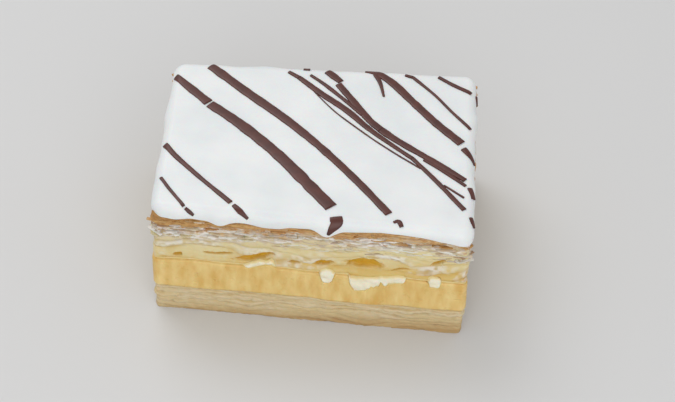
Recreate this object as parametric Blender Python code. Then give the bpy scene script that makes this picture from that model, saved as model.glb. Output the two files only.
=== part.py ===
"""Mille feuille slice, cut from a slab and standing as served.

From the bottom up: a puff pastry sheet, set custard, a thin layer of cream that shows at the cuts only
in places, a tall puff pastry sheet, and a lid of white icing with a rounded edge and a few drips.
X runs across the front, +Y from front to back and +Z up. The origin is on the surface that the slice
stands on, under the middle of it. Every solid is a stack of closed loops around the slice, with a face
across the first and the last.
"""

import math

import bmesh
import bpy
from mathutils import Vector, noise

MM = 0.001

# The cut slice. The knife ran a little askew, so the right cut is longer than the left one.
WIDTH = 95 * MM
DEPTH_LEFT = 65 * MM
DEPTH_RIGHT = 70.5 * MM
HEIGHT = 44.3 * MM
CORNER_RADIUS = 2 * MM
CUT_WAVE = 0.4 * MM
CUT_WAVE_LENGTH = 28 * MM

# Heights of the joints between the layers.
BASE_TOP = 10.2 * MM
CUSTARD_TOP = 22.4 * MM
PASTRY_BOTTOM = 23.9 * MM
PASTRY_TOP = 41 * MM
JOINT_GAP = 0.4 * MM
JOINT_WAVE = 0.7 * MM
WAVE_LENGTH = 16 * MM

# Puff pastry: each leaf's edge stands out and the crevice over it is set back.
BASE_LEAVES = 4
TOP_LEAVES = 6
LEAF_EDGE = 0.3 * MM
CREVICE = 1.5 * MM
LEAF_UNEVEN = 0.9 * MM
LEAF_SLOPE = 0.45 * MM
LEAF_LENGTH = 7 * MM

CUSTARD_EDGE = 0.5 * MM
CUSTARD_UNEVEN = 0.45 * MM
CUSTARD_LOOPS = 5

# Cream: thin where it is set back, thick where it swells out between pastry and custard.
CREAM_SETBACK = 1.6 * MM
CREAM_SWELL = 2.2 * MM
CREAM_OPENING = 1.1 * MM

# Icing: a lid that laps over the crust, with a rounded rim. Its drips hang clear of the leaves.
ICING_RIM_RADIUS = 2.8 * MM
ICING_RIM_LOOPS = 3
ICING_WALL = 0.7 * MM
ICING_LAP = 0.7 * MM
ICING_DIP = 0.5 * MM
ICING_DIP_LENGTH = 22 * MM
TOP_LEAF_SETBACK = 1.1 * MM
DRIP_STANDS_OUT = 1.3 * MM

# How finely the outline is drawn, in steps along each cut and round each corner.
LONG_STEPS = 23
SHORT_STEPS = 15
CORNER_STEPS = 2

# Rings of a layer's top and bottom face, as shares of the outline. The innermost one is level.
MIDDLE_SHARE = 0.3
HALF_SHARE = 0.55
BROAD_SHARE = 0.8

# Where cream shows and where icing has run, as (cut, distance from that cut's middle, half width). Cuts
# are numbered anticlockwise from the front: 0 front, 1 right, 2 back, 3 left.
CREAM_SHOWS = (
    (0, -16 * MM, 5 * MM),
    (0, 4.5 * MM, 3 * MM),
    (0, 16 * MM, 5 * MM),
    (0, 25 * MM, 3 * MM),
    (0, 37 * MM, 3.5 * MM),
    (1, -14 * MM, 4 * MM),
    (1, 12 * MM, 6 * MM),
    (2, -30 * MM, 5 * MM),
    (2, -6 * MM, 7 * MM),
    (2, 24 * MM, 4 * MM),
    (3, -16 * MM, 5 * MM),
    (3, 9 * MM, 4 * MM),
)
DRIPS = (
    (0, 4.5 * MM, 3.2 * MM, 1.8 * MM),
    (0, -27.5 * MM, 3 * MM, 1.4 * MM),
    (1, 16 * MM, 3 * MM, 1.2 * MM),
    (2, 18 * MM, 4 * MM, 2.0 * MM),
    (2, -21 * MM, 3 * MM, 1.2 * MM),
    (3, -9 * MM, 3.5 * MM, 1.5 * MM),
)


def clear_scene():
    for obj in list(bpy.data.objects):
        bpy.data.objects.remove(obj, do_unlink=True)


def turned(direction, angle):
    """A flat direction turned anticlockwise."""
    cos, sin = math.cos(angle), math.sin(angle)
    return Vector((cos * direction.x - sin * direction.y, sin * direction.x + cos * direction.y))


class Station:
    """A point of the cut outline, with its outward normal, and the cut and the place along it."""

    def __init__(self, place, normal, cut, along):
        taper = (DEPTH_RIGHT - DEPTH_LEFT) / (DEPTH_RIGHT + DEPTH_LEFT)
        self.place = Vector((place.x, place.y * (1 + taper * place.x / (WIDTH / 2))))
        self.normal = normal
        self.cut = cut
        self.along = along


def cut_outline():
    """Stations anticlockwise from the front left corner: four straight cuts with small round corners."""
    half_depth = (DEPTH_LEFT + DEPTH_RIGHT) / 4
    stations = []
    for cut in range(4):
        outward = turned(Vector((0, -1)), cut * math.pi / 2)
        along = turned(outward, math.pi / 2)
        is_long = cut % 2 == 0
        half_length, reach = (WIDTH / 2, half_depth) if is_long else (half_depth, WIDTH / 2)
        straight = half_length - CORNER_RADIUS
        steps = LONG_STEPS if is_long else SHORT_STEPS
        for step in range(steps + 1):
            at = straight * (2 * step / steps - 1)
            stations.append(Station(outward * reach + along * at, outward, cut, at))
        centre = outward * (reach - CORNER_RADIUS) + along * straight
        for step in range(1, CORNER_STEPS):
            normal = turned(outward, step / CORNER_STEPS * math.pi / 2)
            stations.append(Station(centre + normal * CORNER_RADIUS, normal, cut, half_length))
    return stations


OUTLINE = cut_outline()


def uneven(place, height, size, seed):
    """Smooth noise from about -1 to 1, over lumps of this size, that joins up around the slice."""
    return noise.noise(Vector((place.x, place.y, height)) / size + Vector((seed, 0, 0)))


def swell(station, marks):
    """How strongly these marks are felt here, from 0 to 1: a bell curve around each."""
    felt = [
        math.exp(-(((station.along - mark[1]) / mark[2]) ** 2))
        for mark in marks
        if mark[0] == station.cut
    ]
    return max(felt, default=0.0)


def drip_depth(station):
    """How far the icing has run down here."""
    return max((mark[3] * swell(station, [mark]) for mark in DRIPS), default=0.0)


def joint_height(station, level, seed, share=1.0):
    """A joint between layers: it waves at the cuts and is level in the middle."""
    fade = ((share - MIDDLE_SHARE) / (1 - MIDDLE_SHARE)) ** 2
    return level + JOINT_WAVE * fade * uneven(station.place, level, WAVE_LENGTH, seed)


def base_top(station, share=1.0):
    return joint_height(station, BASE_TOP, 3, share)


def custard_top(station, share=1.0):
    fade = ((share - MIDDLE_SHARE) / (1 - MIDDLE_SHARE)) ** 2
    opening = CREAM_OPENING * fade * swell(station, CREAM_SHOWS)
    return joint_height(station, CUSTARD_TOP, 5, share) - opening


def pastry_bottom(station, share=1.0):
    fade = ((share - MIDDLE_SHARE) / (1 - MIDDLE_SHARE)) ** 2
    opening = CREAM_OPENING * fade * swell(station, CREAM_SHOWS)
    return joint_height(station, PASTRY_BOTTOM, 5, share) + opening


def pastry_top(station, share=1.0):
    return joint_height(station, PASTRY_TOP, 7, share)


def loop_around(offset, height):
    """A loop at this offset outwards and this height, each a function of the station."""
    points = []
    for station in OUTLINE:
        hand = CUT_WAVE * uneven(station.place, 0.0, CUT_WAVE_LENGTH, 41)
        flat = station.place + station.normal * (hand + offset(station))
        points.append(Vector((flat.x, flat.y, height(station))))
    return points


def face_loops(surface, shift, setback):
    """The loops of a top or bottom face, from the middle out: level, broad, and near the cut."""
    loops = []
    for share in (MIDDLE_SHARE, BROAD_SHARE):
        loops.append(
            [
                Vector((*(station.place * share), surface(station, share) + shift))
                for station in OUTLINE
            ]
        )
    loops.append(loop_around(lambda st: -setback, lambda st: surface(st) + shift))
    return loops


def flat_underside():
    """The one loop of a flat underside, on the surface that the slice stands on."""
    return [loop_around(lambda st: -CREVICE, lambda st: 0.0)]


def leaf_loops(leaves, bottom, top, seed, lapped=0):
    """Zigzag loops up the side of a pastry sheet, a leaf edge and then a crevice for each leaf.

    The lapped leaves at the top keep an even setback, which leaves room for the icing around them.
    """
    loops = []
    for step in range(1, 2 * leaves):
        rise = step / (2 * leaves)
        is_edge = step % 2 == 1
        is_lapped = step >= 2 * (leaves - lapped)

        def height(station, rise=rise, is_lapped=is_lapped, step=step):
            level = bottom(station) * (1 - rise) + top(station) * rise
            if is_lapped:
                return level
            return level + LEAF_SLOPE * uneven(station.place, level, WAVE_LENGTH, seed + step)

        def offset(station, rise=rise, is_edge=is_edge, is_lapped=is_lapped, step=step):
            if is_lapped:
                return -TOP_LEAF_SETBACK if is_edge else -CREVICE
            if not is_edge:
                return -CREVICE
            rough = uneven(station.place, rise * WAVE_LENGTH, LEAF_LENGTH, seed + step)
            return -LEAF_EDGE + LEAF_UNEVEN * max(-1.0, min(0.7, rough))

        loops.append(loop_around(offset, height))
    return loops


def grow(name, loops, colour, roughness):
    """One closed solid through these loops, with its material."""
    shell = bmesh.new()
    rings = [[shell.verts.new(point) for point in loop] for loop in loops]
    shell.faces.new(reversed(rings[0]))
    shell.faces.new(rings[-1])
    for lower, upper in zip(rings, rings[1:]):
        for here, (start, end) in enumerate(zip(lower, lower[1:] + lower[:1])):
            after = (here + 1) % len(upper)
            shell.faces.new((start, end, upper[after], upper[here]))
    bmesh.ops.recalc_face_normals(shell, faces=shell.faces)
    mesh = bpy.data.meshes.new(name)
    shell.to_mesh(mesh)
    shell.free()
    material = bpy.data.materials.new(name)
    material.use_nodes = True
    surface = material.node_tree.nodes["Principled BSDF"]
    surface.inputs["Base Color"].default_value = (*colour, 1.0)
    surface.inputs["Roughness"].default_value = roughness
    surface.inputs["Metallic"].default_value = 0.0
    mesh.materials.append(material)
    obj = bpy.data.objects.new(name, mesh)
    bpy.context.scene.collection.objects.link(obj)
    return obj


def make_base_pastry():
    def ground(_station):
        return 0.0

    def top(station):
        return base_top(station) - JOINT_GAP / 2

    loops = flat_underside()
    loops += leaf_loops(BASE_LEAVES, ground, top, seed=11)
    loops += reversed(face_loops(base_top, -JOINT_GAP / 2, CREVICE))
    grow("base_pastry", loops, (0.55, 0.33, 0.13), 0.6)


def make_custard():
    loops = face_loops(base_top, JOINT_GAP / 2, CUSTARD_EDGE)
    for step in range(1, CUSTARD_LOOPS):
        rise = step / CUSTARD_LOOPS

        def height(station, rise=rise):
            return base_top(station) * (1 - rise) + custard_top(station) * rise

        def offset(station, rise=rise):
            return CUSTARD_UNEVEN * uneven(station.place, rise * CUSTARD_TOP, LEAF_LENGTH, 23)

        loops.append(loop_around(offset, height))
    loops += reversed(face_loops(custard_top, -JOINT_GAP / 2, CUSTARD_EDGE))
    grow("custard", loops, (0.65, 0.44, 0.12), 0.35)


def make_cream():
    loops = face_loops(custard_top, JOINT_GAP / 2, CREAM_SETBACK)

    def middle(station):
        return (custard_top(station) + pastry_bottom(station)) / 2

    def offset(station):
        return -CREAM_SETBACK + CREAM_SWELL * swell(station, CREAM_SHOWS)

    loops.append(loop_around(offset, middle))
    loops += reversed(face_loops(pastry_bottom, -JOINT_GAP / 2, CREAM_SETBACK))
    grow("cream", loops, (0.86, 0.82, 0.70), 0.4)


def make_top_pastry():
    def bottom(station):
        return pastry_bottom(station) + JOINT_GAP / 2

    def top(station):
        return pastry_top(station) - JOINT_GAP / 2

    loops = face_loops(pastry_bottom, JOINT_GAP / 2, CREVICE)
    loops += leaf_loops(TOP_LEAVES, bottom, top, seed=31, lapped=1)
    loops += reversed(face_loops(pastry_top, -JOINT_GAP / 2, CREVICE))
    grow("top_pastry", loops, (0.58, 0.40, 0.18), 0.6)


def make_icing():
    def top(station, share=1.0):
        """The top face: it dips a little here and there."""
        dip = 0.5 + 0.5 * uneven(station.place * share, 0.0, ICING_DIP_LENGTH, 53)
        return HEIGHT - ICING_DIP * dip * (share > MIDDLE_SHARE)

    def run(station):
        """From 0, where the rim only laps the crust, to 1 in a drip."""
        return min(1.0, drip_depth(station) / DRIP_STANDS_OUT)

    def rim_foot(station):
        return pastry_top(station) - ICING_LAP - drip_depth(station)

    def inside(station):
        return -ICING_WALL + run(station) * DRIP_STANDS_OUT

    def outside(station):
        return run(station) * DRIP_STANDS_OUT

    loops = face_loops(pastry_top, JOINT_GAP / 2, ICING_WALL)
    loops.append(loop_around(inside, rim_foot))
    loops.append(loop_around(outside, rim_foot))
    for step in range(ICING_RIM_LOOPS + 1):
        turn = step / ICING_RIM_LOOPS * math.pi / 2
        sink = ICING_RIM_RADIUS * (1 - math.sin(turn))
        setback = ICING_RIM_RADIUS * (1 - math.cos(turn))
        loops.append(
            loop_around(
                lambda st, setback=setback: -setback,
                lambda st, sink=sink: top(st) - sink,
            )
        )
    for share in (BROAD_SHARE, HALF_SHARE, MIDDLE_SHARE):
        loops.append(
            [
                Vector((*(station.place * share), top(station, share)))
                for station in OUTLINE
            ]
        )
    grow("icing", loops, (0.80, 0.82, 0.82), 0.3)


def main():
    clear_scene()
    make_base_pastry()
    make_custard()
    make_cream()
    make_top_pastry()
    make_icing()


main()
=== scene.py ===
# %% [markdown]
# # A mille feuille slice
#
# A bakery slice cut from a slab: puff pastry, set custard, a little whipped cream, a tall second sheet of
# puff pastry, and white icing with piped chocolate lines dragged across it. The five layers come as plain
# closed solids in a fixed frame. This lesson makes the fine surface of each one, at its real size, around
# those solids.

import math

import bpy
import numpy as np
from mathutils import Matrix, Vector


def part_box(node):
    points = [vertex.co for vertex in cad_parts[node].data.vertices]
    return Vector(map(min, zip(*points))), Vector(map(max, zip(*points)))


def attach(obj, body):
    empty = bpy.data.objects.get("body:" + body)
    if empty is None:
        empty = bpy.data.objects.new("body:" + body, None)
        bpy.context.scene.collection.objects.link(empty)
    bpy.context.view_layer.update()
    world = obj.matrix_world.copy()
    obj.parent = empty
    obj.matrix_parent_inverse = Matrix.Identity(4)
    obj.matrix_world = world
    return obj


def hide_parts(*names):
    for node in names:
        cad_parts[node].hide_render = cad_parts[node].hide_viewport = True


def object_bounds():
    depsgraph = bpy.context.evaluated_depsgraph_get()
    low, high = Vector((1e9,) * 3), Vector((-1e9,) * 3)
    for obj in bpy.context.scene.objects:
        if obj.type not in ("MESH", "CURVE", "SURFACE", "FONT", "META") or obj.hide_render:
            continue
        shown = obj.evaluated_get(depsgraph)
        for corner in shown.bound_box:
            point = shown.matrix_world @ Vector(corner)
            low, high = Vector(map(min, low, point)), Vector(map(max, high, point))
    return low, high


MM = 0.001
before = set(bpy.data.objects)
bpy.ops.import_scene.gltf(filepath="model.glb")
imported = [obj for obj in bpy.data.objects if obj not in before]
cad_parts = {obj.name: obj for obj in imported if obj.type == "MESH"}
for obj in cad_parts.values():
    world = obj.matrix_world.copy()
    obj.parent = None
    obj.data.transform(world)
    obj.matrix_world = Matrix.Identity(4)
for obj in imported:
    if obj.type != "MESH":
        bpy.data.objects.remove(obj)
cad_low, cad_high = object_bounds()
print("layers:", ", ".join(sorted(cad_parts)))
print("solid box, mm:", [round((high - low) / MM, 1) for low, high in zip(cad_low, cad_high)])

# %% [markdown]
# ## Measuring the slice
#
# The knife ran a little askew, so the right cut is longer than the left one. The custard layer's own solid
# tells by how much: its two long cuts are nearly straight, so a line fitted through the distances of their
# points from the middle gives the depth of the slice anywhere along it. The joints between layers come
# from the layers' boxes in the same way.

# %% Sizes taken from the solids
HAND_CUT = 0.35 * MM  # how far a knife cut wanders from a straight line
custard_low, custard_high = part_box("custard")
HALF_WIDTH = (custard_high.x - custard_low.x) / 2 - HAND_CUT

points = np.array([vertex.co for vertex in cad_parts["custard"].data.vertices])
on_long_cuts = (abs(points[:, 1]) > 0.8 * custard_high.y) & (abs(points[:, 0]) < 0.9 * HALF_WIDTH)
slope, HALF_DEPTH = np.polyfit(points[on_long_cuts, 0], abs(points[on_long_cuts, 1]), 1)
TAPER = slope * HALF_WIDTH / HALF_DEPTH

JOINT_WAVE = 0.6 * MM  # how far a joint between layers rises and falls
TOP = cad_high.z
BASE_TOP = (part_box("base_pastry")[1].z + custard_low.z) / 2
CUSTARD_TOP = custard_high.z - JOINT_WAVE
PASTRY_BOTTOM = CUSTARD_TOP + 0.7 * MM  # the smear between the dabs is thin
print("half width %.1f, half depth %.1f mm, taper %.3f" % (HALF_WIDTH / MM, HALF_DEPTH / MM, TAPER))
print("joints, mm:", [round(z / MM, 1) for z in (BASE_TOP, CUSTARD_TOP, PASTRY_BOTTOM, TOP)])

# %% [markdown]
# ## Unevenness that repeats exactly
#
# Food is uneven at every size. Blender's noise textures live in the shader, and here the mesh itself needs
# the lumps, so we write a small noise of our own. Each whole-number cell of space gets a fixed value made
# by mixing the bits of its three numbers, and points between cells blend the eight values around them.
# The same place always gives the same value, so two layers that share a joint fit each other.

# %% Noise in numpy
CELL_MIXERS = (0x8DA6B343, 0xD8163841, 0xCB1AB31F)
BIT_MIXERS = ((15, 0x2C1B3C6D), (12, 0x297A2D39))


def cell_value(cell, seed):
    """A fixed value from -1 to 1 for each cell: its numbers times large odd ones, with their bits mixed."""
    mixed = np.full(cell.shape[:-1], (seed * 0x9E3779B1) & 0xFFFFFFFF, np.uint32)
    for axis, mixer in enumerate(CELL_MIXERS):
        mixed ^= cell[..., axis].astype(np.uint32) * np.uint32(mixer)
    for shift, mixer in BIT_MIXERS:
        mixed ^= mixed >> np.uint32(shift)
        mixed *= np.uint32(mixer)
    mixed ^= mixed >> np.uint32(15)
    return mixed / 2.0**31 - 1


def noise(place, size, seed=0, octaves=1):
    """Smooth noise from -1 to 1 with lumps of this size. Each octave adds lumps half as big and half as
    strong. The value at a point is the blend of its cell's eight corners, weighted by 3t^2 - 2t^3."""
    total = 0.0
    for octave in range(octaves):
        scaled = np.asarray(place) / size * 2**octave
        cell = np.floor(scaled).astype(np.int64)
        part = scaled - cell
        weight = part * part * (3 - 2 * part)
        for corner in np.ndindex(2, 2, 2):
            share = np.prod(np.where(corner, weight, 1 - weight), axis=-1)
            total = total + share * cell_value(cell + corner, seed + 17 * octave) / 2**octave
    return total


def smooth_step(low, high, value):
    """0 below low, 1 above high, and 3t^2 - 2t^3 between them."""
    part = np.clip((value - low) / (high - low), 0, 1)
    return part * part * (3 - 2 * part)


# %% [markdown]
# ## The outline that every layer shares
#
# Seen from above, each layer is the same rounded rectangle, with its depth growing from left to right. We
# walk round it once, in even steps, and keep each step's place and outward direction. Every side wall is
# then a grid: round the outline one way, and up or down the cut the other way.

# %% The outline
AROUND = 800


def outline(corner, count=AROUND):
    """Places and outward directions, anticlockwise: four quarter circles joined by straight lines, walked
    at an even pace, with y stretched by 1 + TAPER * x / HALF_WIDTH."""
    angles = np.radians(np.arange(4)[:, None] * 90 - 90 + np.linspace(0, 90, 13))
    signs = np.array([(1, -1), (1, 1), (-1, 1), (-1, -1)])
    centres = signs * (HALF_WIDTH - corner, HALF_DEPTH - corner)
    normals = np.stack([np.cos(angles), np.sin(angles)], axis=-1)
    places = (centres[:, None] + corner * normals).reshape(-1, 2)
    normals = normals.reshape(-1, 2)
    places, normals = np.vstack([places, places[:1]]), np.vstack([normals, normals[:1]])
    walked = np.append(0, np.cumsum(np.linalg.norm(np.diff(places, axis=0), axis=1)))
    steps = np.arange(count) / count * walked[-1]
    place = np.stack([np.interp(steps, walked, places[:, axis]) for axis in (0, 1)], axis=-1)
    normal = np.stack([np.interp(steps, walked, normals[:, axis]) for axis in (0, 1)], axis=-1)
    place[:, 1] *= 1 + TAPER * place[:, 0] / HALF_WIDTH
    return place, normal / np.linalg.norm(normal, axis=1, keepdims=True)


EDGE, OUTWARD = outline(2 * MM)
EDGE = EDGE + OUTWARD * (HAND_CUT * noise(np.insert(EDGE, 2, 0, axis=1), 26 * MM, 41))[:, None]


def on_cut(cut, along):
    """The place on a cut, this far from its middle. Cuts are numbered anticlockwise from the front."""
    depth = HALF_DEPTH * (1 + TAPER * (along, HALF_WIDTH, -along, -HALF_WIDTH)[cut] / HALF_WIDTH)
    return ((along, -depth), (HALF_WIDTH, along), (-along, depth), (-HALF_WIDTH, -along))[cut]


def from_mark(place, cut, along):
    """How far each place is from a mark on a cut, and how far it lies along the cut from it."""
    offset = place - np.array(on_cut(cut, along))
    return np.linalg.norm(offset, axis=-1), offset @ np.array(((1, 0), (0, 1), (-1, 0), (0, -1))[cut])


def felt(place, cut, along, half):
    """How strongly a mark is felt, from 0 to 1: exp(-(distance / half width)^2)."""
    return np.exp(-((from_mark(place, cut, along)[0] / half) ** 2))


print("outline:", AROUND, "steps of %.2f mm" % (np.linalg.norm(EDGE[1] - EDGE[0]) / MM))

# %% [markdown]
# ## Turning grids into closed pieces
#
# A layer is a stack of rings, from the middle of its top face out to the cut, down the cut, and back in
# under it. Joining each ring to the next gives four-sided faces, and the first and the last ring close on
# a single point. Because all the faces turn the same way, they all face outwards. Numbers worked out for
# each point, such as how baked it is, go into named attributes that the finish can read.

# %% Making a mesh from rings
def finish_piece(name, vertices, faces, attributes):
    """A mesh object at the origin, with its place in its mesh, riding on the one body."""
    mesh = bpy.data.meshes.new(name)
    mesh.from_pydata(vertices, [], faces)
    for label, values in attributes.items():
        attribute = mesh.attributes.new(label, "FLOAT", "POINT")
        attribute.data.foreach_set("value", np.asarray(values, np.float32).ravel())
    mesh.polygons.foreach_set("use_smooth", np.full(len(faces), True))
    piece = bpy.data.objects.new(name, mesh)
    bpy.context.scene.collection.objects.link(piece)
    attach(piece, "root")
    print(f"{name}: {len(vertices)} points, {len(faces)} faces")
    return piece


def ring_faces(rows, columns):
    """Four-sided faces between neighbouring rings that each close on themselves."""
    start = np.arange(rows - 1)[:, None] * columns
    here = np.arange(columns)[None]
    after = (here + 1) % columns
    corners = (start + here, start + columns + here, start + columns + after, start + after)
    return np.stack(corners, axis=-1).reshape(-1, 4)


def shell(name, rings, **attributes):
    """A closed piece from rings, shape (rows, columns, 3), given from the top middle down to the bottom
    middle. The ends close on the average of the first ring and of the last one."""
    rows, columns = rings.shape[:2]
    faces = ring_faces(rows, columns).tolist()
    here = np.arange(columns)
    after = (here + 1) % columns
    first, last = rows * columns, rows * columns + 1
    foot = (rows - 1) * columns
    faces += np.stack([np.full(columns, first), here, after], axis=-1).tolist()
    faces += np.stack([np.full(columns, last), foot + after, foot + here], axis=-1).tolist()
    poles = [rings[0].mean(axis=0), rings[-1].mean(axis=0)]
    vertices = np.vstack([rings.reshape(-1, 3), poles])
    values = {
        label: np.append(field.ravel(), [field[0].mean(), field[-1].mean()])
        for label, field in attributes.items()
    }
    return finish_piece(name, vertices, faces, values)


def raised(flat, height):
    """Points from places seen from above, shape (..., 2), and their heights."""
    height = np.broadcast_to(height, flat.shape[:-1])
    return np.concatenate([flat, height[..., None]], axis=-1)


def face_rings(edge, shares):
    """Rings of a top or bottom face: the edge ring drawn in to these shares of its size."""
    shares = np.asarray(shares)[:, None, None]
    height = np.broadcast_to(edge[:, 2:], (len(shares), len(edge), 1))
    return np.concatenate([edge[:, :2] * shares, height], axis=-1)


def cut_layer(name, node, wall, fields):
    """A closed layer from its wall: two rings in from the cut on its top, and two more under it."""
    lid, underside = face_rings(wall[0], [0.3, 0.9]), face_rings(wall[-1], [0.9, 0.3])
    ends = {
        label: np.concatenate([field[[0, 0]], field, field[[-1, -1]]]) for label, field in fields.items()
    }
    layer = shell(name, np.concatenate([lid, wall, underside]), **ends)
    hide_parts(node)
    return layer


# %% [markdown]
# ## Where the layers meet
#
# The custard and both pastry sheets press into each other, so their joints rise and fall together. Cream
# was spread in dabs: where a dab reaches the cut, it sinks into the custard below, or lifts the pastry
# above, and shows as a white blob. Elsewhere it is only a thin smear, set back from the cut. A dab's upper
# and lower edges are roughened by different noise, so that it looks spread and not stamped.

# %% The joints
GAP = 0.12 * MM  # from one layer's surface to the next one's
CREAM_DABS = (
    # (cut, distance along it, half width, lift of the pastry, dip in the custard, rise per mm along), mm
    (0, -15, 4.8, 1.8, -0.4, 0.32),
    (0, 5.3, 2.1, 1.4, 3.6, 0.0),
    (0, 16.6, 4.8, -1.2, 5.2, 0.1),
    (0, 15.4, 3.0, 0.0, 1.0, 0.0),
    (0, 22.0, 1.6, 0.0, 1.2, 0.0),
    (0, 25.3, 3.6, 0.1, 2.6, 0.1),
    (0, 37.6, 1.8, 1.5, 2.6, 0.0),
    (1, -14, 4.0, 0.6, 3.0, 0.2),
    (1, 12, 6.0, 1.2, 1.6, -0.1),
    (2, -30, 5.0, 0.4, 2.6, -0.2),
    (2, -6, 6.5, 1.4, 1.2, 0.15),
    (2, 24, 3.6, 0.2, 3.8, 0.0),
    (3, -16, 5.0, 1.0, 1.4, -0.3),
    (3, 9, 3.2, 0.4, 3.4, 0.1),
)


def dab_outline(place, cut, along, half):
    """How thick a dab is here, from 0 to 1: sqrt(1 - (distance / half width)^3), a blunt ellipse."""
    return np.sqrt(np.clip(1 - (from_mark(place, cut, along)[0] / half) ** 3, 0, 1))


edge_flat = raised(EDGE, 0.0)
joint_wave = JOINT_WAVE * noise(edge_flat, 9 * MM, 5, 2)
upper_edges, lower_edges = (1 + 0.22 * noise(edge_flat, 2.2 * MM, seed, 3) for seed in (9, 14))
base_top = BASE_TOP + 0.5 * JOINT_WAVE * noise(edge_flat, 16 * MM, 3, 2)
custard_top = CUSTARD_TOP + joint_wave
calm_joint = PASTRY_BOTTOM + joint_wave
pastry_bottom = calm_joint
for cut, along, half, lift, dip, rise in CREAM_DABS:
    strength = dab_outline(EDGE, cut, along * MM, half * MM)
    slope_here = rise * from_mark(EDGE, cut, along * MM)[1]
    pastry_bottom = pastry_bottom + strength * upper_edges * (lift * MM + slope_here)
    custard_top = custard_top + strength * lower_edges * (slope_here - dip * MM)
opening = pastry_bottom - custard_top
print("cream opens up to %.1f mm" % (opening.max() / MM))

# %% [markdown]
# ## The icing's surface
#
# Poured icing lies flat, turns over the edge in a soft round rim, and hangs down the cut a little further
# in some places than in others. One function says where the surface is. It takes the flat plan of the
# icing as if it were unrolled, and bends what lies past the rim's start round a quarter circle and then
# straight down. The icing's mesh and the chocolate lines both use it, so the lines lie exactly on it.

# %% A function for the icing's surface
RIM = 3.0 * MM
ICING_CORNER = 4 * MM
ICING_LUMPS = 0.3 * MM  # on the hanging edge
ICING_DIPS = 0.35 * MM  # on the top
ICING_SAG = 0.1 * MM  # everywhere, and as much again just before the rim
DRIPS = (
    # (cut, distance along it, half width, depth), mm
    (0, -40, 2.6, 0.5),
    (0, -26.8, 3.0, 1.2),
    (0, -13, 6.0, 0.7),
    (0, 4.8, 3.0, 2.1),
    (0, 24, 11.0, -0.9),
    (0, 39.5, 4.0, 0.5),
    (0, 46.5, 4.0, 1.6),
    (1, 16, 3.0, 1.2),
    (1, -20, 6.0, 0.8),
    (2, 18, 4.0, 2.0),
    (2, -21, 3.0, 1.2),
    (3, -9, 3.5, 1.5),
    (3, 22, 5.0, 0.7),
)
HALVES = np.array([HALF_WIDTH, HALF_DEPTH])


def past_edge(flat):
    """How far outside the icing's outline a place is, and the way out: the distance to a rectangle that
    is smaller by the corner radius, less that radius, with the taper undone first."""
    straight = flat / np.stack([np.ones(flat.shape[:-1]), 1 + TAPER * flat[..., 0] / HALF_WIDTH], -1)
    over = abs(straight) - (HALVES - ICING_CORNER)
    beyond = np.maximum(over, 0)
    length = np.linalg.norm(beyond, axis=-1)
    inside = np.minimum(over.max(axis=-1), 0)
    nearest_side = np.eye(2)[np.argmax(over, axis=-1)]
    way = np.where(length[..., None] > 1e-9, beyond / np.maximum(length, 1e-9)[..., None], nearest_side)
    return length + inside - ICING_CORNER, way * np.where(straight < 0, -1, 1)


def drip(place):
    """How much further the icing has run down the cut here, or less far where the depth is negative."""
    return MM * sum(depth * felt(place, cut, along * MM, half * MM) for cut, along, half, depth in DRIPS)


def lap(place):
    """How far the icing hangs below its rim where it hasn't run: about half a millimetre, unevenly."""
    here = raised(place, 0.0)
    return (0.4 + 0.35 * noise(here, 9 * MM, 64) + 0.2 * noise(here, 3 * MM, 65)) * MM


def on_icing(flat, lift=0.0):
    """The point of the icing's surface over this place of the unrolled plan, raised by lift. Past the
    start of the rim, the length s turns through the angle s / RIM, up to a quarter circle, and the rest
    hangs straight down."""
    distance, way = past_edge(flat)
    length = distance + RIM
    over = np.maximum(length, 0)
    angle = np.minimum(over / RIM, math.pi / 2)
    hang = np.maximum(over - RIM * math.pi / 2, 0)
    place = flat + way * (RIM * np.sin(angle) - over)[..., None]
    drop = RIM * (1 - np.cos(angle)) + hang
    at_edge = raised(place, 0.0)
    side = np.sin(angle)
    lumps = ICING_LUMPS * noise(raised(place, -drop), 7 * MM, 61, 2)
    stand = side * (lumps + 0.4 * drip(place))
    dips = ICING_DIPS * (noise(at_edge, 24 * MM, 62) + noise(at_edge, 5 * MM, 63) / 7)
    sag = ICING_SAG * smooth_step(-6 * MM, RIM, length)
    across = way * (stand + lift * side)[..., None]
    height = TOP - ICING_SAG - drop - sag + (1 - side) * dips + lift * np.cos(angle)
    return raised(place + across, height)


# %% [markdown]
# ## The icing itself
#
# The icing is about three millimetres thick. Its rings run out across the top, over the rim and down to a
# wavy lower edge. There they turn under in a small round lip, and go back in between icing and pastry,
# where nobody sees them.

# %% The icing
LIP = 0.45 * MM
icing_edge, icing_out = outline(ICING_CORNER)
unrolled = RIM * math.pi / 2 + lap(icing_edge) + drip(icing_edge)
rim_start = icing_edge - icing_out * RIM
inner = rim_start * np.concatenate([np.linspace(0.02, 0.9, 46), np.linspace(0.915, 0.995, 9)])[:, None, None]
outer = rim_start + icing_out * (unrolled * np.linspace(0, 1, 26)[:, None])[..., None]
upper = on_icing(np.concatenate([inner, outer]))
foot = upper[-1]
turn = np.linspace(0, math.pi, 7)[1:, None]
lip_place = foot[:, :2] - icing_out * (LIP * (1 - np.cos(turn)))[..., None]
lip = raised(lip_place, foot[:, 2] - LIP * np.sin(turn))
under_edge = raised(lip[-1, :, :2], TOP - RIM + 0.4 * MM)
under = face_rings(under_edge, [1.0, 0.9, 0.4])
icing = shell("icing_lid", np.concatenate([upper, lip, under]))
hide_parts("icing")

# %% [markdown]
# ## The chocolate lines
#
# A baker pipes thin lines of chocolate across wet icing. They are a few tenths of a millimetre thick,
# rounded on top, and as wide as the bag's tip was squeezed. Once set, they crack where the knife presses.
# Each line is a profile carried along a smooth path over the unrolled icing, and the function above bends
# it over the rim. A line that is cracked is given as separate strokes with blunt ends.

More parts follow.
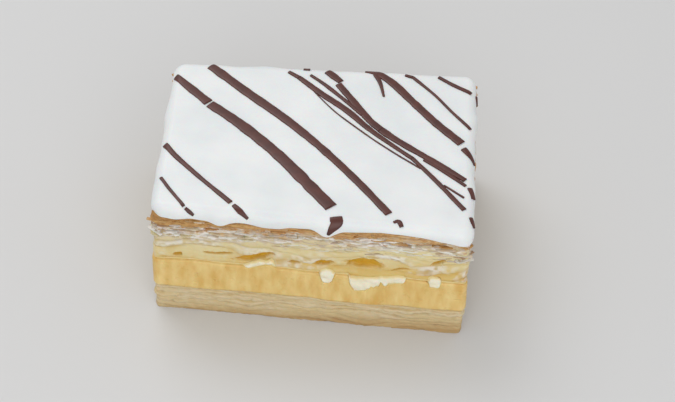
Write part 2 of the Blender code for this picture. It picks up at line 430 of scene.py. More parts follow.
# %% The lines' paths
CHOCOLATE_THICKNESS = 0.4 * MM
STROKE_STEP = 0.4 * MM
PROFILE = 10
STROKES = (
    # (points in mm on the unrolled icing, widths in mm at even shares of the way along)
    (((-45.5, -20), (-42.5, -24.5), (-37.5, -31)), (1.0, 1.0, 1.0)),
    (((-37, -31.5), (-34.5, -33.5)), (0.9, 1.2, 0.8)),
    (((-46, -6), (-42, -11), (-33, -20), (-24, -28.5)), (1.9, 1.6, 1.4, 1.5)),
    (((-23, -29.5), (-21, -31.5), (-18.5, -33.5)), (1.3, 1.8, 0.9)),
    (((-46.5, 25), (-42, 20.5), (-35, 13.7)), (2.3, 2.9, 3.2)),
    (((-34.4, 13), (-25.5, 6), (-17, -2), (-9, -10.5), (5.5, -27.5)), (3.4, 3.7, 3.7, 4.0, 4.0)),
    (((7.2, -31.3), (7.4, -33.2), (6.2, -35), (5.2, -36.8)), (3.6, 3.8, 2.4, 1.0)),
    (
        ((-36, 30.5), (-23.5, 19.5), (-11, 8.5), (1, -3.5), (12, -15.5), (22.5, -28.5)),
        (3.0, 3.3, 2.8, 2.5, 2.5),
    ),
    (((24, -31.8), (25.5, -31.3), (26.5, -33.3)), (0.7, 1.5, 1.2)),
    (((-11.5, 30), (-8, 27.5)), (1.2, 1.5)),
    (((-8, 27.5), (-1, 21), (7.5, 14), (15.7, 5.7), (28.5, -5)), (1.7, 2.3, 2.2, 1.5, 1.3)),
    (((28.5, -5), (36, -14), (44.5, -25)), (1.3, 1.4, 1.6)),
    (((-3, 21.5), (4.5, 12.5), (17, 1.5), (31, -9)), (0.3, 0.45, 0.45, 0.5)),
    (((-7, 32.2), (-5, 32)), (1.5, 1.5)),
    (((-4.6, 29), (0, 25), (5.5, 19.7), (12.5, 12.5)), (0.9, 1.3, 1.2, 1.4)),
    (((0.5, 31.3), (5, 26.8)), (2.5, 2.6, 2.2)),
    (((4.3, 25.5), (8.5, 19.5), (14.5, 10.7), (18.5, 6.5)), (2.2, 2.3, 2.5, 2.5)),
    (((18.5, 6.5), (23.5, 2.4), (35, -5.9), (44.5, -12.9)), (2.5, 2.2, 2.0, 1.6)),
    (((32, -5.2), (37, -8.9), (44.7, -15.2)), (1.2, 1.2, 1.0)),
    (((38.3, -15.5), (44.3, -20)), (0.5, 0.6)),
    (((12.3, 33.2), (16.5, 32.3)), (1.0, 2.6)),
    (((15.8, 32.5), (21, 28), (27, 20.7), (35, 11), (43, 2.6)), (2.4, 2.8, 2.7, 2.6, 2.8)),
    (((15.5, 31.5), (17.2, 27.5), (18.6, 21.5)), (1.6, 1.2, 0.7)),
    (((43.7, 0.3), (45.5, -2), (48, -4.5)), (1.9, 1.7, 0.6)),
    (((24.8, 32), (27.3, 31.2)), (0.9, 1.1)),
    (((27.3, 31.2), (34.5, 23.3), (40, 16), (45.6, 9.3)), (1.1, 0.8, 0.8, 1.0)),
    (((35.3, 32), (40, 28.5), (45.6, 25.3)), (1.1, 1.3, 1.3)),
    (((48.3, 26.3), (49.3, 23.5)), (1.4, 0.7)),
    (((45.8, -15.8), (47.3, -19.2)), (1.5, 1.7)),
    (((46.4, -27.6), (47.8, -30.6)), (1.2, 1.4, 0.8)),
)


def smooth_path(corners):
    """A curve through the corners, in even steps: a Catmull-Rom spline, where each span leaves along the
    line between its neighbours, walked at an even pace."""
    corners = np.array(corners, float) * MM
    held = np.vstack([2 * corners[0] - corners[1], corners, 2 * corners[-1] - corners[-2]])
    t = np.linspace(0, 1, 24, endpoint=False)[:, None]
    spans = [
        0.5 * (2 * b + (c - a) * t + (2 * a - 5 * b + 4 * c - d) * t**2 + (3 * b - a - 3 * c + d) * t**3)
        for a, b, c, d in zip(held, held[1:], held[2:], held[3:])
    ]
    fine = np.vstack([*spans, corners[-1:]])
    walked = np.append(0, np.cumsum(np.linalg.norm(np.diff(fine, axis=0), axis=1)))
    steps = np.linspace(0, walked[-1], max(6, round(walked[-1] / STROKE_STEP)))
    return np.stack([np.interp(steps, walked, fine[:, axis]) for axis in (0, 1)], axis=-1), steps


def stroke_rings(corners, widths, seed):
    """Rings of one chocolate line. Its cross-section is a squared ellipse, with each coordinate's sine or
    cosine taken to a small power, so the top is flat and the sides are steep. The underside sinks a
    little into the icing. The width swells and shrinks by noise, and the ends are cut off square."""
    path, walked = smooth_path(corners)
    along = np.gradient(path, axis=0)
    along /= np.linalg.norm(along, axis=1, keepdims=True)
    across = np.stack([-along[:, 1], along[:, 0]], axis=-1)
    width = np.interp(walked / walked[-1], np.linspace(0, 1, len(widths)), widths) * MM
    width = width * (1 + 0.07 * noise(raised(path, 0.0), 2.5 * MM, 70 + seed, 2))
    turn = np.linspace(0, 2 * math.pi, 2 * PROFILE, endpoint=False)
    side = np.sign(np.cos(turn)) * abs(np.cos(turn)) ** 0.6
    rise = np.sign(np.sin(turn)) * abs(np.sin(turn)) ** 0.45
    flat = path[:, None] + across[:, None] * (side * width[:, None] / 2)[..., None]
    thickness = CHOCOLATE_THICKNESS * np.minimum(1, width / MM) ** 0.5
    lift = np.where(rise > 0, thickness[:, None] * rise, 0.3 * MM * rise)
    return on_icing(flat, lift + 0.004 * MM * seed)


# %% [markdown]
# All the lines become one mesh. Each stroke is a closed tube of its own, so we count up where its points
# start, join its rings, and close its two ends on their middles.

# %% The lines' mesh
def joined_tubes(name, tubes):
    """One piece from several closed tubes, each of rings in the order that turns the faces outwards."""
    vertices, faces, start = [], [], 0
    for rings in tubes:
        rows, columns = rings.shape[:2]
        here = np.arange(columns)
        after = (here + 1) % columns
        foot = (rows - 1) * columns
        first, last = rows * columns, rows * columns + 1
        vertices += [rings.reshape(-1, 3), rings[[0, -1]].mean(axis=1)]
        faces += (ring_faces(rows, columns) + start).tolist()
        faces += (np.stack([np.full(columns, first), here, after], axis=-1) + start).tolist()
        faces += (np.stack([np.full(columns, last), foot + after, foot + here], axis=-1) + start).tolist()
        start += rows * columns + 2
    return finish_piece(name, np.vstack(vertices), faces, {})


tubes = [stroke_rings(corners, widths, seed)[:, ::-1] for seed, (corners, widths) in enumerate(STROKES)]
chocolate = joined_tubes("chocolate_lines", tubes)

# %% [markdown]
# ## Puff pastry
#
# Puff pastry is hundreds of films of dough that steam blew apart. At a cut we see their edges: crisp brown
# ones at the crust, dry grey-white flakes under it, and pale, moist ones that cling together in thicker
# leaves lower down, with golden hollows where the leaves parted. We count leaves up the cut, faster near
# the crust because they are thinner there, and bend the count with noise so that they wave, merge and
# split. Each leaf stands out by its own amount, with a crevice between it and the next. Fine noise that
# is read along the leaf, and not straight up, draws the films that a leaf is made of.

# %% A function for the cut side of a pastry sheet
FILM = 0.75 * MM  # thickness of the bundles of films that can be told apart
WALL_SETBACK = 0.45 * MM
CREVICE_DEPTH = 0.4 * MM  # between moist leaves
CRISP_DEPTH = 0.9 * MM  # how much deeper it is between crisp ones
HOLLOW_DEPTH = 1.2 * MM


def pastry_wall(bottom, calm, top, rows, thick_leaves, thin_leaves, seed, crisp_from, hollows=()):
    """Rings down a pastry's cut, and fields that say how its points look.

    The leaf count at a share s of the height over the calm joint, as if there were no dabs, is thick_leaves
    * s + thin_leaves * s^3 plus noise. Its whole part names the leaf, and its fraction t the place within
    it. The wall is set back in the crevices by |2t - 1|^3, and further in the hollows, which are tilted
    ellipses at a height over the calm joint."""
    height = bottom + (top - bottom) * np.linspace(1, 0, rows)[:, None]
    share = (height - calm) / (top - calm)
    place = raised(np.broadcast_to(EDGE, (rows, AROUND, 2)), height)
    flattened = place * (1, 1, 2.2)
    baked_through = share - 0.14 * place[..., 0] / HALF_WIDTH + 0.06 * noise(place, 11 * MM, seed + 2)
    crisp = smooth_step(crisp_from, crisp_from + 0.12, baked_through)
    count = thick_leaves * share + thin_leaves * share**3
    bend = 0.8 * noise(flattened, 16 * MM, seed) + 0.35 * noise(flattened, 6 * MM, seed + 1)
    leaf = np.floor(count + bend)
    part = count + bend - leaf
    on_leaf = raised(place[..., :2], leaf * 37 * MM)
    on_film = raised(place[..., :2] * 0.6, (count + bend) * 3.2 * FILM)
    stand = noise(on_leaf, 6 * MM, seed + 3, 2) * (0.3 + 0.3 * crisp) * MM
    ragged = crisp * np.maximum(noise(on_leaf, 2.2 * MM, seed + 9, 2) - 0.2, 0) * 0.7 * MM
    opened = np.clip(0.35 + 0.9 * noise(on_leaf, 10 * MM, seed + 4), 0.05, 1)
    crevice = abs(2 * part - 1) ** (2 + crisp) * opened
    films = noise(on_film, FILM, seed + 6, 2)
    out = stand - WALL_SETBACK - ragged - crevice * (CREVICE_DEPTH + CRISP_DEPTH * crisp) + 0.09 * MM * films
    deep = np.zeros_like(out)
    ragged_rim = 0.35 * noise(flattened, 1.6 * MM, seed + 12, 2)
    for cut, along, half, level, half_height, tilt in hollows:
        distance, sideways = from_mark(EDGE, cut, along * MM)
        edge_bend = 0.5 * MM * noise(edge_flat, 3 * MM, seed + 5)
        middle = calm + level * MM + tilt * sideways + edge_bend
        reach = (distance / (half * MM)) ** 2 + ((height - middle) / (half_height * MM)) ** 2
        deep = np.maximum(deep, 1 - smooth_step(0.45, 1.15, reach + ragged_rim))
    out = out - HOLLOW_DEPTH * deep
    out = out + 0.08 * MM * noise(place, 1.1 * MM, seed + 10, 2)
    rings = raised(place[..., :2] + OUTWARD * out[..., None], height)
    whiter = noise(on_leaf * (0.5, 0.5, 1), 6 * MM, seed + 7, 2) + 0.4 * films
    # How dry a point is also sets how much of the finish's flake colour it gets, which holds painted
    # highlights and painted shade.
    dry_and_flake_light = np.clip(crisp * (0.5 + 1.1 * whiter) + (1 - crisp) * 0.65 * whiter, 0, 1)
    bake = baked_through + 0.06 * noise(on_leaf, 9 * MM, seed + 11)
    # how much painted shade the finish puts into the crevices and the deep hollows
    crevice_and_hollow_shade = np.maximum(crevice, deep)
    return rings, {"bake": bake, "crevice_and_hollow_shade": crevice_and_hollow_shade, "deep": deep, "dry_and_flake_light": dry_and_flake_light, "films": films}

# %% [markdown]
# The hollows above the cream are the largest. Some are placed where the slice shows them, and others
# follow from a seeded random choice, so that every cut has its share.

# %% The tall pastry sheet
HOLLOWS = [
    # (cut, distance along it, half width, height over the bottom, half height, rise per mm along), mm
    (0, -16.8, 6.4, 3.1, 1.3, 0.25),
    (0, 4.0, 3.4, 3.5, 1.15, 0.15),
    (0, 16.4, 6.1, 4.6, 2.0, -0.1),
    (0, 37.8, 2.2, 7.6, 0.9, 0.5),
    (0, -26, 3.2, 3.6, 0.6, 0.1),
    (0, -30, 2.0, 3.4, 0.5, 0.1),
    (0, -39.5, 1.5, 1.6, 0.9, 0.0),
    (0, -4.5, 1.9, 2.9, 0.5, 0.1),
    (0, 27, 3.0, 3.0, 0.45, 0.25),
]
rng = np.random.default_rng(12)
for cut, length in ((1, HALF_DEPTH), (2, HALF_WIDTH), (3, HALF_DEPTH)):
    for along in np.arange(-0.8, 0.9, 0.27) * length / MM:
        half, level, tall, tilt = rng.uniform((1.5, 1.0, 0.4, -0.3), (5.5, 6.0, 1.1, 0.3))
        HOLLOWS.append((cut, along + rng.uniform(-3, 3), half, level, tall, tilt))

TUCK = 0.6 * MM  # how far the crust draws in under the icing
TUCK_HEIGHT = 1.2 * MM
UNDER_ICING = 0.5 * MM  # how far the crust reaches up behind the icing's edge
crust_top = TOP - RIM - lap(EDGE) + UNDER_ICING
wall, fields = pastry_wall(pastry_bottom + GAP, calm_joint, crust_top, 120, 5, 4.5, 100, 0.54, HOLLOWS)
tuck = smooth_step(crust_top - TUCK_HEIGHT, crust_top, wall[..., 2])
wall[..., :2] -= OUTWARD * (TUCK * tuck)[..., None]
top_pastry = cut_layer("puff_pastry_top", "top_pastry", wall, fields)

# %% [markdown]
# ## The bottom sheet
#
# The bottom sheet has been pressed by what lies on it, so its leaves are few and even, and it is moist right
# through. Its brown side is the underside, where it met the baking tray. The same function makes it: we turn
# how baked it is upside down, and keep only a trace of the dry flakes and of their painted highlights and
# shade.

# %% The bottom pastry sheet
wall, fields = pastry_wall(np.zeros(AROUND), 0.0, base_top - GAP, 60, 5, 1, 200, 0.3)
fields["bake"] = 1 - fields["bake"]
fields["dry_and_flake_light"] = 0.15 * fields["dry_and_flake_light"]
base_pastry = cut_layer("puff_pastry_base", "base_pastry", wall, fields)

# %% [markdown]
# ## Loose flakes
#
# A knife shatters crisp pastry, and thin flakes stick out of the cut. Each flake is a small curved sheet a
# quarter of a millimetre thick with a ragged outer edge. One grid is worked out for all of them at once,
# with the flake's number as the first axis, so there is no loop over flakes.

# %% Where the flakes grow
FLAKES = 700
FLAKE_ROOT = 1.3 * MM  # how deep in the wall a flake starts
FLAKE_HALF_THICKNESS = 0.11 * MM
ALONG, OUT = 9, 5
rng = np.random.default_rng(5)
station = rng.integers(0, AROUND, FLAKES)
level = rng.uniform(0.5, 0.93, FLAKES)
length = rng.uniform(1.5, 6.0, FLAKES) * MM
reach = rng.uniform(0.1, 0.5, FLAKES) * MM * (0.4 + 0.6 * level)
lean = rng.uniform(-0.5, 0.2, FLAKES)[:, None, None]
roll = rng.normal(0, 0.08, FLAKES)[:, None, None]
icing_foot = TOP - RIM - lap(EDGE) - drip(EDGE)
start_height = pastry_bottom + (icing_foot - pastry_bottom) * 0.5
print("flakes: %d, from %.1f mm up" % (FLAKES, start_height.min() / MM))

# %% [markdown]
# A flake's own grid has one number along the cut, from -1 to 1, and one outwards, from 0 at its root to 1
# at its tip. Its outer edge is a rounded arc, 1 - 0.75 |along|^3, roughened by noise. Past the wall's face it
# leans down or up, and a little noise in its height curls it.

# %% The flakes' shape
along_share = np.linspace(-1, 1, ALONG)[None, :, None]
out_share = np.linspace(0, 1, OUT)[None, None, :]
column = np.broadcast_to(along_share, (FLAKES, ALONG, 1))
key = np.stack([column + 3 * np.arange(FLAKES)[:, None, None]] * 3, axis=-1)
ragged = (1 - 0.75 * abs(along_share) ** 3) * (0.85 + 0.35 * noise(key, 0.45, 80))
out_way = OUTWARD[station][:, None, None, :]
side_way = np.stack([-out_way[..., 1], out_way[..., 0]], axis=-1)
out = -FLAKE_ROOT + out_share * (FLAKE_ROOT + reach[:, None, None] * ragged - 0.3 * MM)
along = along_share * length[:, None, None] / 2
flat = EDGE[station][:, None, None, :] + out_way * out[..., None] + side_way * along[..., None]
tall = (icing_foot - pastry_bottom)[station][:, None, None]
height = pastry_bottom[station][:, None, None] + tall * level[:, None, None] + roll * along
height = height + lean * (out + 0.5 * MM) * (out > -0.5 * MM)
height = height + 0.25 * MM * noise(raised(flat, height), 2 * MM, 81)
half_thick = FLAKE_HALF_THICKNESS * (1 - 0.6 * out_share)
upper = raised(flat, height + half_thick)
lower = raised(flat, height - half_thick)

# %% [markdown]
# Every flake has the same faces, shifted by its number of points, so they too are worked out for one flake
# and repeated. How baked and how dry a flake is goes into the same attributes that the wall has, and its
# dryness sets how much painted highlight and shade it gets.

# %% The flakes' mesh
def sheet_faces(columns, rows, count):
    """Faces of closed thin sheets. Each sheet's points are its upper grid and then its lower one: two
    faces for each cell of the grid, and a strip round the rim."""
    grid = np.arange(columns * rows).reshape(columns, rows)
    cells = np.stack([grid[:-1, :-1], grid[:-1, 1:], grid[1:, 1:], grid[1:, :-1]], axis=-1).reshape(-1, 4)
    size = columns * rows
    rim = np.concatenate([grid[0, :-1], grid[:-1, -1], grid[-1, :0:-1], grid[:0:-1, 0]])
    rim_next = np.roll(rim, -1)
    strip = np.stack([rim, rim + size, rim_next + size, rim_next], axis=-1)
    one = np.concatenate([cells, cells[:, ::-1] + size, strip])
    return (one[None] + 2 * size * np.arange(count)[:, None, None]).reshape(-1, 4)


vertices = np.concatenate([upper.reshape(FLAKES, -1, 3), lower.reshape(FLAKES, -1, 3)], axis=1).reshape(-1, 3)
per_flake = 2 * ALONG * OUT
flakes = finish_piece(
    "loose_flakes",
    vertices,
    sheet_faces(ALONG, OUT, FLAKES).tolist(),
    {
        "bake": np.repeat(level + rng.normal(0, 0.04, FLAKES), per_flake),
        "crevice_and_hollow_shade": np.zeros(FLAKES * per_flake),
        "deep": np.zeros(FLAKES * per_flake),
        "dry_and_flake_light": np.repeat(np.where(level > 0.5, rng.uniform(0, 1, FLAKES), 0.0), per_flake),
        "films": np.repeat(rng.uniform(-1, 1, FLAKES), per_flake),
    },
)

# %% [markdown]
# ## Custard
#
# Set custard cuts clean. Its side is smooth and moist, with shallow waves where the knife dragged, and a
# few small holes where air was trapped.

# %% The custard
rows = 44
share = np.linspace(1, 0, rows)[:, None]
height = (base_top + GAP) + (custard_top - base_top - 2 * GAP) * share
place = raised(np.broadcast_to(EDGE, (rows, AROUND, 2)), height)
waves = 0.22 * MM * noise(place * (1, 1, 0.5), 6 * MM, 301, 2)
skin = 0.05 * MM * noise(place * (1, 1, 0.4), 1.6 * MM, 302, 2)
holes = 0.35 * MM * smooth_step(0.7, 0.9, noise(place, 1.3 * MM, 303))
brim = 0.2 * MM * (smooth_step(0.96, 1.0, share) + smooth_step(0.06, 0.0, share))
out = waves + skin - holes - brim
wall = raised(place[..., :2] + OUTWARD * out[..., None], height)
custard = cut_layer("custard_layer", "custard", wall, {})

# %% [markdown]
# ## Cream
#
# Whipped cream is stiff enough to keep the lumps of the knife that spread it. Between the dabs it is set
# back behind the cut. Where it is thin, custard stains it, so we keep how far each point is inside its dab.

# %% The cream
rows = 26
turn = np.linspace(math.pi / 2, -math.pi / 2, rows)[:, None]
middle = (custard_top + pastry_bottom) / 2
shows = smooth_step(0.8 * MM, 1.8 * MM, opening)
tall = opening / 2 - GAP + 0.3 * MM * shows
place = raised(np.broadcast_to(EDGE, (rows, AROUND, 2)), middle + tall * np.sin(turn))
inside = tall * (1 - abs(np.sin(turn))) + 0.35 * MM * noise(place, 1.2 * MM, 403)
core = smooth_step(0.1 * MM, 1.0 * MM, inside)
lumps = 0.35 * noise(place, 1.8 * MM, 402, 2)
out = (-0.6 + 0.4 * shows + (0.4 + lumps) * core) * MM
wall = raised(place[..., :2] + OUTWARD * out[..., None], place[..., 2])
cream = cut_layer("whipped_cream", "cream", wall, {"core": core})

# %% [markdown]
# ## Finishes
#
# Colours are picked as they look on a screen, which is the sRGB scale, and the renderer works with light,
# which is the linear one, so one function turns each hex value to linear. Another adds a shader node with
# its settings and links: a value that is a socket becomes a link, and any other value is set on the socket.
# Pattern sizes are written as one over a length, so that they stay true to the slice's real size.

# %% Colour and node helpers
def srgb(hex_value):
    """Linear red, green, blue and alpha from a hex value: c / 12.92 below 0.04045, else
    ((c + 0.055) / 1.055)^2.4."""
    channels = np.array([int(hex_value[at : at + 2], 16) for at in (1, 3, 5)]) / 255
    linear = np.where(channels <= 0.04045, channels / 12.92, ((channels + 0.055) / 1.055) ** 2.4)
    return (*linear, 1.0)


def add(tree, kind, inputs=None, stops=None, **settings):
    """Adds a node. Inputs go by socket name or number, and stops are a colour ramp's (place, colour)."""
    made = tree.nodes.new("ShaderNode" + kind)
    for name, value in settings.items():
        setattr(made, name, value)
    for socket, value in (inputs or {}).items():
        if isinstance(value, bpy.types.NodeSocket):
            tree.links.new(value, made.inputs[socket])
        else:
            made.inputs[socket].default_value = value
    for index, (at, colour) in enumerate(stops or ()):
        element = made.color_ramp.elements[index] if index < 2 else made.color_ramp.elements.new(at)
        element.position, element.color = at, colour
    return made


def new_material(name, **settings):
    """A material, its node tree and its Principled shader with these sockets set."""
    material = bpy.data.materials.new(name)
    material.use_nodes = True
    surface = material.node_tree.nodes["Principled BSDF"]
    for socket, value in settings.items():
        surface.inputs[socket.replace("_", " ")].default_value = value
    return material, material.node_tree, surface


# %% [markdown]
# ## The icing's finish
#
# Set icing is opaque and nearly white, cooler than cream. A flat white would look like plastic, so a broad
# noise changes both its tone and its gloss a little, and a very faint bump breaks up the highlight.

# %% Icing finish
def poured_icing():
    """Poured sugar icing: almost white, and smooth with a soft, slightly uneven gloss."""
    material, tree, surface = new_material(
        "poured sugar icing", IOR=1.48, Subsurface_Weight=0.12, Subsurface_Scale=2 * MM
    )
    place = add(tree, "TexCoord").outputs["Object"]
    clouds = add(tree, "TexNoise", {"Vector": place, "Scale": 1 / (14 * MM), "Detail": 2.0})
    colour = add(
        tree, "ValToRGB", {"Fac": clouds.outputs["Fac"]},
        stops=[(0.35, srgb("#E4E8E9")), (0.65, srgb("#ECEEEE"))],
    )
    tree.links.new(colour.outputs["Color"], surface.inputs["Base Color"])
    gloss = add(tree, "MapRange", {"Value": clouds.outputs["Fac"], "To Min": 0.32, "To Max": 0.5})
    tree.links.new(gloss.outputs["Result"], surface.inputs["Roughness"])
    grain = add(tree, "TexNoise", {"Vector": place, "Scale": 1 / (1.5 * MM), "Detail": 2.0})
    bump = add(tree, "Bump", {"Height": grain.outputs["Fac"], "Strength": 0.06, "Distance": 0.3 * MM})
    tree.links.new(bump.outputs["Normal"], surface.inputs["Normal"])
    return material


icing.data.materials.append(poured_icing())


# %% [markdown]
# ## The chocolate's finish
#
# Piped chocolate sets dark and reddish, with a satin gloss. Two close browns are enough: most of its life
# comes from the rounded edges of the lines, which the mesh already has.

# %% Chocolate finish
def dark_chocolate():
    """Piped dark chocolate: deep reddish brown, set with a satin gloss."""
    material, tree, surface = new_material("dark chocolate", Roughness=0.38, IOR=1.5)
    place = add(tree, "TexCoord").outputs["Object"]
    clouds = add(tree, "TexNoise", {"Vector": place, "Scale": 1 / (3 * MM), "Detail": 3.0})
    colour = add(
        tree, "ValToRGB", {"Fac": clouds.outputs["Fac"]},
        stops=[(0.3, srgb("#482019")), (0.7, srgb("#5B2B21"))],
    )
    tree.links.new(colour.outputs["Color"], surface.inputs["Base Color"])
    return material


chocolate.data.materials.append(dark_chocolate())


# %% [markdown]
# ## The pastry's finish
#
# Pastry changes colour up the cut: moist yellow at the custard, pale in the middle, grey-white where dry
# flakes catch the light, and brown at the crust. A shader alone can't know where a leaf begins, so the mesh
# brings that as attributes, and the finish only turns them into colour: a ramp for how baked a point is, then
# white or grey for dry leaves, which is painted highlight and painted shade over their pale tone, then
# painted shade for crevices, then a darker gold painted as shade in the deep hollows.

# %% Pastry finish
def puff_pastry(name, bake_stops):
    """Puff pastry: matt and dry where it is baked, paler and moister inside. The colour follows how baked
    each leaf is and is broken up by its films. Dry leaves turn greyish white, which is their pale tone with
    painted highlights and painted shade; crevices get painted shade, brown or golden; and the deep hollows
    get painted shade as a strong, darker gold over the moist pastry's own gold."""
    material, tree, surface = new_material(
        name, IOR=1.45, Subsurface_Weight=0.1, Subsurface_Scale=1.5 * MM
    )
    place = add(tree, "TexCoord").outputs["Object"]
    stretched = add(tree, "Mapping", {"Vector": place, "Scale": (1.0, 1.0, 3.0)}).outputs["Vector"]
    bake, dry_and_flake_light, crevice_and_hollow_shade, deep, films = (
        add(tree, "Attribute", attribute_name=label).outputs["Fac"]
        for label in ("bake", "dry_and_flake_light", "crevice_and_hollow_shade", "deep", "films")
    )
    grain = add(tree, "TexNoise", {"Vector": stretched, "Scale": 1 / (2.5 * MM), "Detail": 4.0})
    spread = add(
        tree, "MapRange",
        {"Value": grain.outputs["Fac"], "From Min": 0.3, "From Max": 0.7, "To Min": -0.08, "To Max": 0.08},
    ).outputs["Result"]
    by_film = add(tree, "Math", {0: films, 1: 0.07, 2: bake}, operation="MULTIPLY_ADD").outputs[0]
    level = add(tree, "Math", {0: by_film, 1: spread}, operation="ADD").outputs[0]
    baked = add(tree, "ValToRGB", {"Fac": level}, stops=bake_stops).outputs["Color"]

    # dry flakes: their pale tone with painted highlights in white and painted shade in brown-grey and grey,
    # chosen by film, and none in the crust itself
    below_crust = add(tree, "MapRange", {"Value": level, "From Min": 0.87, "From Max": 0.79})
    dry_flake_light_amount = add(tree, "Math", {0: dry_and_flake_light, 1: below_crust.outputs["Result"]}, operation="MULTIPLY").outputs[0]
    film_share = add(tree, "Math", {0: films, 1: 0.5, 2: 0.5}, operation="MULTIPLY_ADD").outputs[0]
    dry_flake_colour_and_light = add(
        tree, "ValToRGB", {"Fac": film_share},
        stops=[(0.12, srgb("#A98A6C")), (0.58, srgb("#ECE9E3")), (0.28, srgb("#BDB1AB"))],
    ).outputs["Color"]
    baked_with_flake_light = add(tree, "Mix", {0: dry_flake_light_amount, 6: baked, 7: dry_flake_colour_and_light}, data_type="RGBA").outputs[2]

    # painted shade in the crevices: golden low down, brown near the crust
    shade = add(
        tree, "ValToRGB", {"Fac": level},
        stops=[
            (0.0, srgb("#C79A3A")),
            (1.0, srgb("#8A5A2E")),
            (0.45, srgb("#C0A356")),
            (0.65, srgb("#8F7A5C")),
        ],
    ).outputs["Color"]
    amount = add(tree, "Math", {0: crevice_and_hollow_shade, 1: 0.8}, operation="MULTIPLY", use_clamp=True).outputs[0]
    shaded = add(tree, "Mix", {0: amount, 6: baked_with_flake_light, 7: shade}, data_type="RGBA").outputs[2]
    # painted shade in the deep hollows: a strong, darker gold over the pastry's own gold
    golden = add(tree, "Mix", {0: deep, 6: shaded, 7: srgb("#CC9A1C")}, data_type="RGBA").outputs[2]
    tree.links.new(golden, surface.inputs["Base Color"])
    gloss = add(
        tree, "MapRange",
        {"Value": level, "From Min": 0.3, "From Max": 0.7, "To Min": 0.38, "To Max": 0.65},
    )
    tree.links.new(gloss.outputs["Result"], surface.inputs["Roughness"])
    fine = add(tree, "TexNoise", {"Vector": stretched, "Scale": 1 / (0.7 * MM), "Detail": 3.0})
    bump = add(tree, "Bump", {"Height": fine.outputs["Fac"], "Strength": 0.2, "Distance": 0.2 * MM})
    tree.links.new(bump.outputs["Normal"], surface.inputs["Normal"])
    return material


# A ramp starts with its two end stops, so they come first, and the ones between follow.
TOP_BAKE = [
    (0.0, srgb("#DCBE74")),
    (1.0, srgb("#B0834A")),
    (0.2, srgb("#DECB94")),
    (0.45, srgb("#E1D3A2")),
    (0.58, srgb("#DCCDA6")),
    (0.74, srgb("#BFA88A")),
    (0.81, srgb("#D0AC76")),
    (0.87, srgb("#B5844E")),
    (0.93, srgb("#CCA469")),
]
BASE_BAKE = [
    (0.0, srgb("#D3BF93")),
    (1.0, srgb("#BA9A69")),
    (0.6, srgb("#CFBA8C")),
]
top_material = puff_pastry("puff pastry, crisp above and moist below", TOP_BAKE)
top_pastry.data.materials.append(top_material)
flakes.data.materials.append(top_material)
base_pastry.data.materials.append(puff_pastry("puff pastry, baked underside", BASE_BAKE))


# %% [markdown]
# ## The custard's finish
#
# Egg custard is warm yellow and lets a little light in, which keeps it soft. The knife dragged it from top
# to bottom, so its clouds of lighter and darker yellow are stretched upright. Its moist skin shows in the
# gloss, which changes from place to place, more than in the bump.

# %% Custard finish
def set_custard():
    """Set egg custard: warm yellow, smooth and moist, with a soft gloss that changes from place to place."""
    material, tree, surface = new_material(
        "set egg custard", IOR=1.42, Subsurface_Weight=0.15, Subsurface_Scale=2.5 * MM
    )
    place = add(tree, "TexCoord").outputs["Object"]
    dragged = add(tree, "Mapping", {"Vector": place, "Scale": (1.0, 1.0, 0.35)}).outputs["Vector"]
    clouds = add(tree, "TexNoise", {"Vector": dragged, "Scale": 1 / (3 * MM), "Detail": 4.0})
    colour = add(
        tree, "ValToRGB", {"Fac": clouds.outputs["Fac"]},
        stops=[(0.3, srgb("#D9B060")), (0.7, srgb("#EBD08C"))],
    )
    tree.links.new(colour.outputs["Color"], surface.inputs["Base Color"])
    wet = add(tree, "TexNoise", {"Vector": place, "Scale": 1 / (3 * MM), "Detail": 3.0})
    gloss = add(
        tree, "MapRange",
        {"Value": wet.outputs["Fac"], "From Min": 0.3, "From Max": 0.7, "To Min": 0.22, "To Max": 0.5},
    )
    tree.links.new(gloss.outputs["Result"], surface.inputs["Roughness"])
    bump = add(tree, "Bump", {"Height": wet.outputs["Fac"], "Strength": 0.1, "Distance": 0.4 * MM})
    tree.links.new(bump.outputs["Normal"], surface.inputs["Normal"])
    return material


custard.data.materials.append(set_custard())

# %% [markdown]
# ## The cream's finish
#
# Cream is a warm white. At the rim of a dab it is thin and takes up the custard's yellow, so its colour
# follows the attribute that says how far inside the dab a point is.

# %% Cream finish
def whipped_cream():
    """Whipped cream: warm white, stained by custard where it is thin, with a soft wet gloss."""
    material, tree, surface = new_material(
        "whipped cream", Roughness=0.4, IOR=1.45, Subsurface_Weight=0.15, Subsurface_Scale=2 * MM
    )
    place = add(tree, "TexCoord").outputs["Object"]
    clouds = add(tree, "TexNoise", {"Vector": place, "Scale": 1 / (4 * MM), "Detail": 2.0})
    colour = add(
        tree, "ValToRGB", {"Fac": clouds.outputs["Fac"]},
        stops=[(0.3, srgb("#EEE5C6")), (0.7, srgb("#F5F0DE"))],
    )
    core = add(tree, "Attribute", attribute_name="core").outputs["Fac"]
    stained = add(tree, "Mix", {0: core, 6: srgb("#E6CE90"), 7: colour.outputs["Color"]}, data_type="RGBA")
    tree.links.new(stained.outputs[2], surface.inputs["Base Color"])
    return material


cream.data.materials.append(whipped_cream())
print("finishes:", ", ".join(sorted(material.name for material in bpy.data.materials)))

# %% [markdown]
# ## The floor and the light
#
# The slice stands on a plain pale floor. A bright even world and two large lamps, one above and behind and
# one in front, give soft light, so the top stays bright, the cut is clear, and shadows are faint.

# %% Floor and light
FLOOR_SIZE = 3.0
floor_mesh = bpy.data.meshes.new("floor")
half_floor = FLOOR_SIZE / 2
floor_corners = [(x * half_floor, y * half_floor, 0.0) for x, y in ((-1, -1), (1, -1), (1, 1), (-1, 1))]
floor_mesh.from_pydata(floor_corners, [], [(0, 1, 2, 3)])
floor = bpy.data.objects.new("floor", floor_mesh)
bpy.context.scene.collection.objects.link(floor)
floor_material, _, _ = new_material("pale table", Roughness=0.7, Base_Color=srgb("#D6D6D6"))
floor_mesh.materials.append(floor_material)

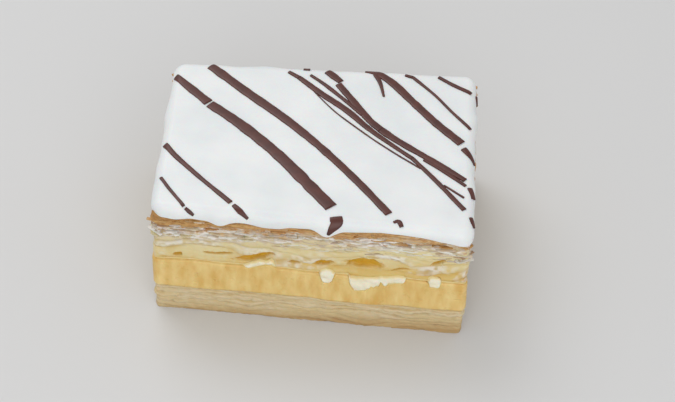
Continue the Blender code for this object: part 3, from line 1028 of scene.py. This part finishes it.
world = bpy.data.worlds.new("studio")
bpy.context.scene.world = world
world.use_nodes = True
world.node_tree.nodes["Background"].inputs["Color"].default_value = (1.0, 1.0, 1.0, 1.0)
world.node_tree.nodes["Background"].inputs["Strength"].default_value = 0.6


def soft_lamp(name, place, size, watts):
    """A square lamp that faces the slice."""
    lamp = bpy.data.lights.new(name, "AREA")
    lamp.size, lamp.energy = size, watts
    holder = bpy.data.objects.new(name, lamp)
    holder.location = place
    aim = np.array([0, 0, TOP / 2]) - place
    tip = math.acos(-aim[2] / np.linalg.norm(aim))
    holder.rotation_euler = (tip, 0, math.atan2(aim[0], -aim[1]) + math.pi)
    bpy.context.scene.collection.objects.link(holder)


soft_lamp("main_lamp", (-0.35, 0.45, 0.8), 0.6, 2.6)
soft_lamp("fill_lamp", (0.1, -0.75, 0.5), 0.8, 3.0)
bpy.context.scene.view_settings.view_transform = "Standard"

# %% [markdown]
# ## The camera
#
# The camera looks down at about 45 degrees through a long lens, tipped a little to one side. Its pose is
# built from three directions at right angles: backwards from the slice, to the right, and up.

# %% Camera
AZIMUTH, ELEVATION, ROLL = (math.radians(angle) for angle in (1.8, 45.5, 2.6))
DISTANCE = 621.5 * MM
AIM = np.array([7.2 * MM, -25.0 * MM, TOP])
back = np.array(
    [math.sin(AZIMUTH) * math.cos(ELEVATION), -math.cos(AZIMUTH) * math.cos(ELEVATION), math.sin(ELEVATION)]
)
level_right = np.array([math.cos(AZIMUTH), math.sin(AZIMUTH), 0.0])
level_up = np.cross(back, level_right)
right = math.cos(ROLL) * level_right + math.sin(ROLL) * level_up
up = np.cross(back, right)
camera_data = bpy.data.cameras.new("camera")
camera_data.lens, camera_data.sensor_width = 112.8, 36.0
camera = bpy.data.objects.new("camera", camera_data)
bpy.context.scene.collection.objects.link(camera)
pose = np.eye(4)
pose[:3, :3] = np.stack([right, up, back], axis=-1)
pose[:3, 3] = AIM + back * DISTANCE
camera.matrix_world = Matrix(pose.tolist())
bpy.context.scene.camera = camera
